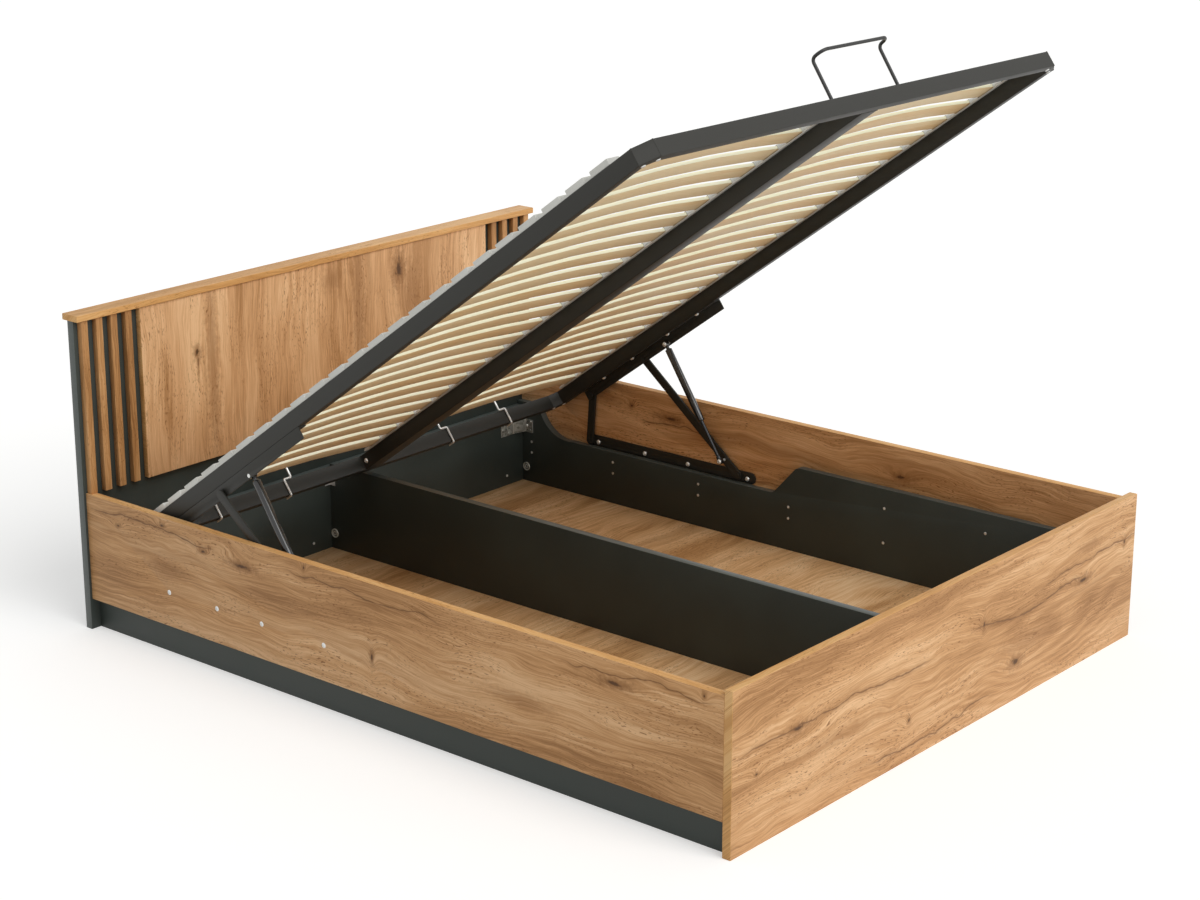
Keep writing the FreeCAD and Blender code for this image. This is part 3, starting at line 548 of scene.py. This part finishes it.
# Flat screw head with a cross recess
def crossHead(look):
    bm = bmesh.new()
    bmesh.ops.create_grid(bm, x_segments=3, y_segments=3, size=look["cross"] / 2)
    plus = [f for f in bm.faces
            if min(abs(f.calc_center_median().x), abs(f.calc_center_median().y)) < 0.1 * mm]
    rim = [e for e in bm.edges if len(e.link_faces) == 1]
    for share, z in ((look["flat"], 0.0), (1.0, -look["height"] / 2), (1.0, -look["height"])):
        grown = bmesh.ops.extrude_edge_only(bm, edges=rim)["geom"]
        for vert in [g for g in grown if isinstance(g, bmesh.types.BMVert)]:
            vert.co.xy = vert.co.xy.normalized() * look["diameter"] / 2 * share
            vert.co.z = z
        rim = [g for g in grown if isinstance(g, bmesh.types.BMEdge)]
    sunk = bmesh.ops.extrude_face_region(bm, geom=plus)["geom"]
    bmesh.ops.delete(bm, geom=plus, context="FACES_ONLY")
    bmesh.ops.translate(bm, verts=[g for g in sunk if isinstance(g, bmesh.types.BMVert)],
                        vec=(0, 0, -look["depth"]))
    bmesh.ops.translate(bm, verts=bm.verts[:], vec=(0, 0, look["height"]))
    bmesh.ops.recalc_face_normals(bm, faces=bm.faces[:])
    return bm


boltLook = {"diameter": 14 * mm, "height": 4.5 * mm, "land": 7.6 * mm, "socket": 5 * mm, "depth": 2.4 * mm}
capLook = {"diameter": 13 * mm, "height": 2.2 * mm, "land": 6.8 * mm, "socket": 4 * mm, "depth": 1.2 * mm}
domeLook = {"diameter": 9 * mm, "height": 3 * mm, "land": 4.6 * mm, "socket": 3 * mm, "depth": 1.6 * mm}
screwLook = {"diameter": 8 * mm, "height": 1.2 * mm, "cross": 4.4 * mm, "flat": 0.7, "depth": 0.96 * mm}
boltHead = socketHead(boltLook)
capHead = socketHead(capLook)
screwDome = socketHead(domeLook)
screwHead = crossHead(screwLook)
print("fastener shapes made")


# Boards

boardEdge = 0.8 * mm  # how far the edge band's sharp corners are broken

# node: decor of the faces, edge band, the axis that the faces point along, slot
boards = {
    "headboard_panel": (anthracite, anthraciteEdgePaintedHighlight, 1, "anthracite_board"),
    "headboard_cap": (capOak, edgeOakAcross, 2, "oak"),
    "headboard_centre_panel": (headboardOakPaintedLight, edgeOak, 1, "oak"),
    "headboard_strips_right": (stripOakPaintedShade, stripOakPaintedShade, 1, "oak"),
    "headboard_strips_left": (stripOakPaintedShade, stripOakPaintedShade, 1, "oak"),
    "footboard": (footboardOak, edgeOakAcross, 1, "oak"),
    "side_rail_right": (railOak, edgeOak, 0, "oak"),
    "side_rail_left": (railOak, edgeOak, 0, "oak"),
    "inner_side_panel_right": (anthracite, anthraciteEdgePaintedHighlight, 0, "anthracite_board"),
    "inner_side_panel_left": (anthracite, anthraciteEdgePaintedHighlight, 0, "anthracite_board"),
    "head_inner_panel": (anthracite, anthraciteEdgePaintedHighlight, 1, "anthracite_board"),
    "centre_divider": (anthracite, anthraciteEdgePaintedHighlight, 0, "anthracite_board"),
    "floor_panel_right": (floorOakPaintedLight, floorOakPaintedLight, 2, "floor_oak"),
    "floor_panel_left": (floorOakPaintedLight, floorOakPaintedLight, 2, "floor_oak"),
}
for node, (face, edge, axis, slot) in boards.items():
    bm = cadCopy(node)
    soften(bm, boardEdge)
    paint(bm, lambda f: abs(f.normal[axis]) < 0.7, 1)  # the edge band is on the narrow faces
    makePiece(node + "_board", bm, bodyOf(node), (face, edge), (node,))
print("boards made")


# Raised base: tubes, slats, holders

tubes = {"height": 40 * mm, "width": 25 * mm, "radius": 2.5 * mm, "beamHalf": 30 * mm, "half": 0.790,
         "length": 1.985, "cornerAcross": 40 * mm, "cornerAlong": 30 * mm}
weld = {"mitre": 0.9 * mm, "beam": 1.3 * mm, "sink": 0.5 * mm, "step": 2.2 * mm, "ripple": 0.16}


# Test for edges along a direction
def parallel(direction):
    return lambda e: abs((e.verts[1].co - e.verts[0].co).normalized().dot(direction)) > 0.98


# A rippled bead along a closed run of corners
def weldBead(bm, corners, radius):
    curve = bpy.data.curves.new("bead", "CURVE")
    curve.dimensions = "3D"
    curve.bevel_depth = radius
    curve.bevel_resolution = 1
    spline = curve.splines.new("POLY")
    points = []
    for a, b in zip(corners, corners[1:] + corners[:1]):
        steps = max(2, int((b - a).length / weld["step"]))
        points += [a.lerp(b, i / steps) for i in range(steps)]
    spline.points.add(len(points) - 1)
    for i, (point, place) in enumerate(zip(spline.points, points)):
        point.co = place.to_4d()
        point.radius = 1.0 + weld["ripple"] * math.sin(i * 1.9)
    spline.use_cyclic_u = True
    holder = bpy.data.objects.new("bead", curve)
    mesh = bpy.data.meshes.new_from_object(holder)
    bm.from_mesh(mesh)
    bpy.data.objects.remove(holder)
    bpy.data.curves.remove(curve)
    bpy.data.meshes.remove(mesh)


across = Vector((1, 0, 0))
slanted = [across * 0.8 + base["along"] * 0.6, across * 0.8 - base["along"] * 0.6]
tubeRuns = {"foot_tube": [across], "head_tube": [across], "centre_beam": [base["along"]],
            "side_tube_right": [base["along"]], "side_tube_left": [base["along"]],
            "corner_tubes_right": slanted, "corner_tubes_left": slanted}
for node, directions in tubeRuns.items():
    bm = cadCopy(node)
    tests = [parallel(d) for d in directions]
    soften(bm, tubes["radius"], lambda e: any(test(e) for test in tests), 3)
    makePiece(node + "_tube", bm, "base", (blackSteel,), (node,))

# ground weld seams at the ring's mitres, as (across, along) of their outer and inner ends, and
# where the beam meets the ring
half, width = tubes["half"], tubes["width"]
cornerX = half - tubes["cornerAcross"]
mitres = (((cornerX, 0), (cornerX - width / 3, width)),
          ((half, tubes["cornerAlong"]), (half - width, tubes["cornerAlong"] + width / 3)))
heights = (-weld["sink"], weld["sink"] - tubes["height"])
bm = bmesh.new()
for sign in sides.values():
    for ends in mitres:
        for atFoot in (True, False):
            a, b = [Vector((sign * x, tubes["length"] - s if atFoot else s)) for x, s in ends]
            pull = (b - a).normalized() * weld["sink"]
            a, b = a + pull, b - pull
            corners = [(a, heights[0]), (b, heights[0]), (b, heights[1]), (a, heights[1])]
            weldBead(bm, [onBase(p.x, p.y, n) for p, n in corners], weld["mitre"])
for s in (width, tubes["length"] - width):
    reach = tubes["beamHalf"] - weld["sink"]
    corners = [(-reach, heights[0]), (reach, heights[0]), (reach, heights[1]), (-reach, heights[1])]
    weldBead(bm, [onBase(x, s, n) for x, n in corners], weld["beam"])
makePiece("weld_seams", bm, "base", (blackSteel,))

for side in sides:
    node = "slats_" + side
    bm = cadCopy(node)
    soften(bm, 0.7 * mm)
    # the edge faces take the near-white birch, painted light
    paint(bm, lambda f: abs(f.normal.dot(base["along"])) > 0.5, 1)
    makePiece("bowed_" + node, bm, "base", (slatFace, slatEdgePaintedLight), (node,))
    for row in ("inner", "outer"):
        node = row + "_slat_holders_" + side
        bm = cadCopy(node)
        soften(bm, 0.5 * mm, None, 1)
        makePiece("moulded_" + node, bm, "base", (holderPlastic,), (node,))
print("base made")


# Fasteners

# dome heads on the underside of the ring and in the beam's sides
bm = bmesh.new()
for number, (low, high) in enumerate(looseParts("frame_bolts")):
    centre = (low + high) / 2
    inBeam = abs(centre.x) < 2 * tubes["beamHalf"]
    direction = Vector((math.copysign(1, centre.x), 0, 0)) if inBeam else -base["up"]
    addCopy(bm, boltHead, aimed(centre - direction * boltLook["height"] / 2, direction, number * 0.9))
makePiece("ring_socket_bolts", bm, "base", (brightZinc,), ("frame_bolts",))

seats = {"angleWall": 3 * mm, "barInner": 0.800, "railOuter": 0.825}
for side, sign in sides.items():
    outward = Vector((sign, 0, 0))
    bm = bmesh.new()
    for number, (low, high) in enumerate(looseParts("bracket_bolts_" + side)):
        # the part is a dome and the shank above it: the dome's foot is the angle's underside
        centre = (low + high) / 2
        s = (centre - base["headEdge"]).dot(base["along"])
        seat = onBase(centre.x, s, -tubes["height"] - seats["angleWall"])
        addCopy(bm, boltHead, aimed(seat, -base["up"], number * 1.3))
    makePiece("bracket_socket_bolts_" + side, bm, "base", (brightZinc,),
              ("bracket_bolts_" + side,))
    bm = bmesh.new()
    for number, (low, high) in enumerate(looseParts("rail_bolts_" + side)):
        centre = (low + high) / 2
        inside = Vector((sign * seats["barInner"], centre.y, centre.z))
        outside = Vector((sign * seats["railOuter"], centre.y, centre.z))
        addCopy(bm, boltHead, aimed(inside, -outward, number * 0.7))
        addCopy(bm, capHead, aimed(outside, outward, number * 1.7))
    makePiece("rail_socket_bolts_" + side, bm, "box", (brightZinc,), ("rail_bolts_" + side,))

bm = bmesh.new()
for number, (low, high) in enumerate(looseParts("panel_screws")):
    size = high - low
    centre = (low + high) / 2
    if size.y < size.x:
        direction = Vector((0, -1, 0))
        start = Vector((centre.x, high.y, centre.z))
    else:
        direction = Vector((-math.copysign(1, centre.x), 0, 0))
        start = centre - direction * screwLook["height"] / 2
    addCopy(bm, screwHead, aimed(start, direction, number * 1.9))
makePiece("cross_recess_screws", bm, "box", (brightZinc,), ("panel_screws",))

# ring fittings: a bright dished rim, a groove and a bright cam with a recess, the groove and the recess
# painted near black as painted shade. They sit on the divider's faces and on the inner panels' inner faces
ringLook = {"outer": 13 * mm, "inner": 8.6 * mm, "cam": 6.8 * mm, "recess": 2.6 * mm,
            "walls": (11 * mm, 781 * mm)}
outer, inner, camEdge, hollow = (ringLook[key] for key in ("outer", "inner", "cam", "recess"))
rim = turned([(outer, 0), (outer, 1.4 * mm), (outer - 0.8 * mm, 2.4 * mm), (inner + 0.8 * mm, 2.0 * mm),
              (inner, 1.4 * mm), (inner, 0)], 32)
groove = turned([(inner, 0.4 * mm), (camEdge, 0.4 * mm)], 32)
cam = turned([(camEdge, 0), (camEdge - 0.4 * mm, 1.7 * mm), (hollow + 0.6 * mm, 1.9 * mm),
              (hollow, 1.3 * mm)], 24)
recess = turned([(hollow, 1.3 * mm), (0, 0.6 * mm)], 24)
bm = bmesh.new()
for low, high in looseParts("panel_fittings"):
    centre = (low + high) / 2
    left = min(abs(abs(low.x) - wall) for wall in ringLook["walls"]) < 0.1 * mm
    start = Vector((low.x if left else high.x, centre.y, centre.z))
    direction = Vector((1 if left else -1, 0, 0))
    for shape, look in ((rim, 0), (groove, 1), (cam, 0), (recess, 1)):
        addCopy(bm, shape, aimed(start, direction), look)
makePiece("ring_fittings", bm, "box", (castZinc, recessPaintedShade), ("panel_fittings",))
print("fasteners made")


# Lift

hinges = {joint["name"]: joint for joint in frame["joints"]}
springTop = Vector(hinges["gas_spring_swing"]["pos_m"])
springLine = Vector(hinges["gas_spring_stroke"]["axis"]).normalized()
spring = {"x": 0.775, "body": 20 * mm, "rod": 10 * mm, "neck": 16 * mm, "length": 238 * mm,
          "rodStart": 124 * mm, "eye": 17 * mm, "eyeWidth": 12 * mm, "hole": 8.1 * mm}
body, rod, neck, mouth = spring["body"] / 2, spring["rod"] / 2, spring["neck"], spring["length"]

# a neck, a rounded shoulder, a rolled groove near the mouth, and a mouth that closes on the rod
cylinderShape = turned([(0, neck - 6 * mm), (body / 2, neck - 6 * mm), (body / 2, neck - 1 * mm),
                        (body - 2.5 * mm, neck), (body - 1 * mm, neck + 0.6 * mm), (body, neck + 2.4 * mm),
                        (body, mouth - 9 * mm), (body - 0.5 * mm, mouth - 8.4 * mm),
                        (body - 0.5 * mm, mouth - 6.6 * mm), (body, mouth - 6 * mm),
                        (body, mouth - 1.6 * mm), (body - 0.8 * mm, mouth - 0.4 * mm),
                        (body - 2 * mm, mouth), (rod + 0.05 * mm, mouth - 0.6 * mm),
                        (rod + 0.05 * mm, mouth - 12 * mm)], 40)
neckCollar = turned([(5 * mm, 7 * mm), (6.2 * mm, 7.6 * mm), (6.2 * mm, 10 * mm), (5 * mm, 10.6 * mm)], 24)
studWasher = turned([(4 * mm, 0), (4 * mm, 1 * mm), (0, 1 * mm)], 20)


# Eye of a gas spring: a ring with rounded rims, drawn along Z
def eyeShape(hole):
    half = spring["eyeWidth"] / 2
    r = spring["eye"] / 2
    return turned([(hole / 2, -half), (r - 1 * mm, -half), (r, 1 * mm - half), (r, half - 1 * mm),
                   (r - 1 * mm, half), (hole / 2, half), (hole / 2, -half)], 32)


def gasSpring(side, sign):
    outward = Vector((sign, 0, 0))
    top = Vector((sign * spring["x"], springTop.y, springTop.z))
    low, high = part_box("spring_lower_stud_" + side)
    foot = Vector((sign * spring["x"], (low.y + high.y) / 2, (low.z + high.z) / 2))
    bm = bmesh.new()
    addCopy(bm, cylinderShape, aimed(top, springLine))
    addCopy(bm, eyeShape(spring["hole"]), aimed(top, outward))
    addCopy(bm, neckCollar, aimed(top, springLine))
    makePiece("gas_cylinder_shell_" + side, bm, "gas_cylinders", (blackLacquer,),
              ("gas_cylinder_" + side,))
    # the rod ends in a groove and a wider collar before the lower eye, whose stud has a dome head
    bm = bmesh.new()
    start, end = spring["rodStart"], (foot - top).length
    rodShape = turned([(0, start), (rod - 1 * mm, start), (rod, start + 1 * mm), (rod, end - 18 * mm),
                       (rod - 0.7 * mm, end - 17.4 * mm), (rod - 0.7 * mm, end - 16 * mm),
                       (rod + 1.6 * mm, end - 15 * mm), (rod + 1.6 * mm, end - 7 * mm),
                       (rod - 1 * mm, end - 6 * mm), (0, end - 6 * mm)], 32)
    addCopy(bm, rodShape, aimed(top, springLine), 0)
    addCopy(bm, eyeShape(0.02 * mm), aimed(foot, outward), 0)
    addCopy(bm, studWasher, aimed(foot + outward * spring["eyeWidth"] / 2, outward), 1)
    addCopy(bm, boltHead, aimed(foot - outward * spring["eyeWidth"] / 2, -outward), 1)
    makePiece("gas_rod_shaft_" + side, bm, "gas_rods", (nitrided, brightZinc),
              ("gas_rod_" + side,))


# the corner brace: its plate, the facet's reach along each leg and its height, and the hole
# pattern that the screws sit in, as (column, row) from each leg's free end and from its bottom
brace = {"plate": 2 * mm, "facet": (45 * mm, 14 * mm, 38 * mm), "pitch": 13 * mm, "edge": 8 * mm,
         "headScrews": ((0, 1), (2, 0), (2, 2)), "sideScrews": ((0, 0), (0, 2), (1, 1))}


# A plain facet bridges the brace's two legs across the corner, and screws hold the legs
def cornerBrace(side, sign):
    node = "corner_brace_" + side
    bm = cadCopy(node)
    low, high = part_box(node)
    plate, pitch, (headReach, sideReach, tall) = brace["plate"], brace["pitch"], brace["facet"]
    wall, free = (high.x, low.x) if sign > 0 else (low.x, high.x)
    level = (low.z + high.z) / 2
    headEnd = Vector((wall - sign * headReach, high.y - plate, level))
    sideEnd = Vector((wall - sign * plate, high.y - sideReach, level))
    run = sideEnd - headEnd
    facet = bmesh.new()
    bmesh.ops.create_cube(facet, size=1.0, matrix=Matrix.Diagonal((run.length, plate, tall, 1)))
    soften(facet, 0.6 * mm)
    addCopy(bm, facet, Matrix.Translation((headEnd + sideEnd) / 2)
            @ Matrix.Rotation(math.atan2(run.y, run.x), 4, "Z"), 1)
    facet.free()
    soften(bm, 0.3 * mm, None, 1)
    for column, row in brace["headScrews"]:
        x = free + sign * (brace["edge"] + column * pitch)
        place = Vector((x, high.y - plate, level + (row - 1) * pitch))
        addCopy(bm, screwDome, aimed(place, Vector((0, -1, 0)), column + row), 2)
    for column, row in brace["sideScrews"]:
        y = low.y + brace["edge"] + column * pitch
        place = Vector((wall - sign * plate, y, level + (row - 1) * pitch))
        addCopy(bm, screwDome, aimed(place, Vector((-sign, 0, 0)), column + row), 2)
    makePiece("perforated_brace_" + side, bm, "box", (braceLegsPaintedShade, braceFacetPaintedLight, brightZinc),
              (node,))


# CAD nodes that only have their sharp edges broken: prefix, width, segments, slot and finish
plainParts = {
    "upper_bracket_": ("pressed_", 0.7 * mm, 2, "black_steel", blackSteel),
    "lower_bar_": ("pressed_", 0.6 * mm, 2, "black_steel", blackSteel),
    "short_link_": ("pressed_", 0.8 * mm, 2, "black_steel", blackSteel),
    "long_link_": ("pressed_", 0.8 * mm, 2, "black_steel", blackSteel),
    "lower_pins_": ("peened_", 0.4 * mm, 1, "black_steel", blackSteel),
    "upper_pins_": ("peened_", 0.4 * mm, 1, "black_steel", blackSteel),
    "spring_upper_stud_": ("turned_", 0.3 * mm, 1, "bright_zinc", brightZinc),
    "spring_lower_stud_": ("turned_", 0.3 * mm, 1, "bright_zinc", brightZinc),
}
for side, sign in sides.items():
    gasSpring(side, sign)
    for part, (prefix, edge, segments, slot, finish) in plainParts.items():
        node = part + side
        bm = cadCopy(node)
        soften(bm, edge, None, segments)
        makePiece(prefix + node, bm, bodyOf(node), (finish,), (node,))
    cornerBrace(side, sign)

bm = cadCopy("divider_angles")
soften(bm, 0.3 * mm, None, 1)
makePiece("small_angles", bm, "box", (brightZinc,), ("divider_angles",))
for node, slot, finish in (("handle", "black_rod", dippedWire),
                           ("mattress_hooks", "bright_zinc", brightZinc)):
    makePiece(node + "_wire", cadCopy(node), "base", (finish,), (node,))
print("lift made")


# Stage, light, camera

studio = {"floor": 60.0, "floorColour": "#E6E6E4", "floorGlow": 0.42, "ambient": 0.43,
          "lamps": {"key_light": (1.3, Vector((-0.06, -0.68, 0.73)), math.radians(40)),
                    "low_front_light": (0.95, Vector((0.25, -0.95, 0.14)), math.radians(50))}}
white = (1, 1, 1, 1)


# 1 for the rays that show the white round the bed: from the camera, mirrored or through glass
def pictureRays(owner):
    paths = addNode(owner, "LightPath").outputs
    seen = addNode(owner, "Math", {0: paths["Is Camera Ray"], 1: paths["Is Glossy Ray"]},
                   operation="MAXIMUM")
    return addNode(owner, "Math", {0: seen, 1: paths["Is Transmission Ray"]}, operation="MAXIMUM")


# White paper floor that keeps the bed's shadow and glows up to white around it
def studioFloor():
    m = bpy.data.materials.new("white_studio_floor")
    m.use_nodes = True
    m.node_tree.nodes.clear()
    paper = addNode(m, "BsdfDiffuse", {"Color": toLinear(studio["floorColour"])})
    glow = addNode(m, "Emission", {"Color": white, "Strength": studio["floorGlow"]})
    lit = addNode(m, "AddShader", {0: paper, 1: glow})
    mix = addNode(m, "MixShader", {0: pictureRays(m), 1: paper, 2: lit})
    addNode(m, "OutputMaterial", {"Surface": mix})
    return m


bm = bmesh.new()
bmesh.ops.create_grid(bm, x_segments=2, y_segments=2, size=studio["floor"])
floorMesh = bpy.data.meshes.new("studio_floor")
bm.to_mesh(floorMesh)
bm.free()
floorMesh.materials.append(studioFloor())
floor = bpy.data.objects.new("studio_floor", floorMesh)
bpy.context.scene.collection.objects.link(floor)

world = bpy.data.worlds.new("white_room")
bpy.context.scene.world = world
world.use_nodes = True
world.node_tree.nodes.clear()
dim = addNode(world, "Background", {"Color": white, "Strength": studio["ambient"]})
bright = addNode(world, "Background", {"Color": white, "Strength": 1.0})
mix = addNode(world, "MixShader", {0: pictureRays(world), 1: dim, 2: bright})
addNode(world, "OutputWorld", {"Surface": mix})

for name, (strength, source, softness) in studio["lamps"].items():
    lamp = bpy.data.objects.new(name, bpy.data.lights.new(name, "SUN"))
    lamp.data.energy = strength
    lamp.data.angle = softness
    lamp.rotation_euler = source.to_track_quat("Z", "Y").to_euler()
    bpy.context.scene.collection.objects.link(lamp)

# Seen from the left of the foot end, 2.4 m up
view = {"place": (-4.610, -3.8715, 2.360), "towards": Vector((0.7297, 0.6151, -0.2985)), "lens": 76.47}
camera = bpy.data.objects.new("camera", bpy.data.cameras.new("camera"))
camera.data.lens = view["lens"]
camera.data.sensor_width = 36
camera.location = view["place"]
camera.rotation_euler = view["towards"].to_track_quat("-Z", "Y").to_euler()
bpy.context.scene.collection.objects.link(camera)
bpy.context.scene.camera = camera
bpy.context.scene.view_settings.view_transform = "Standard"
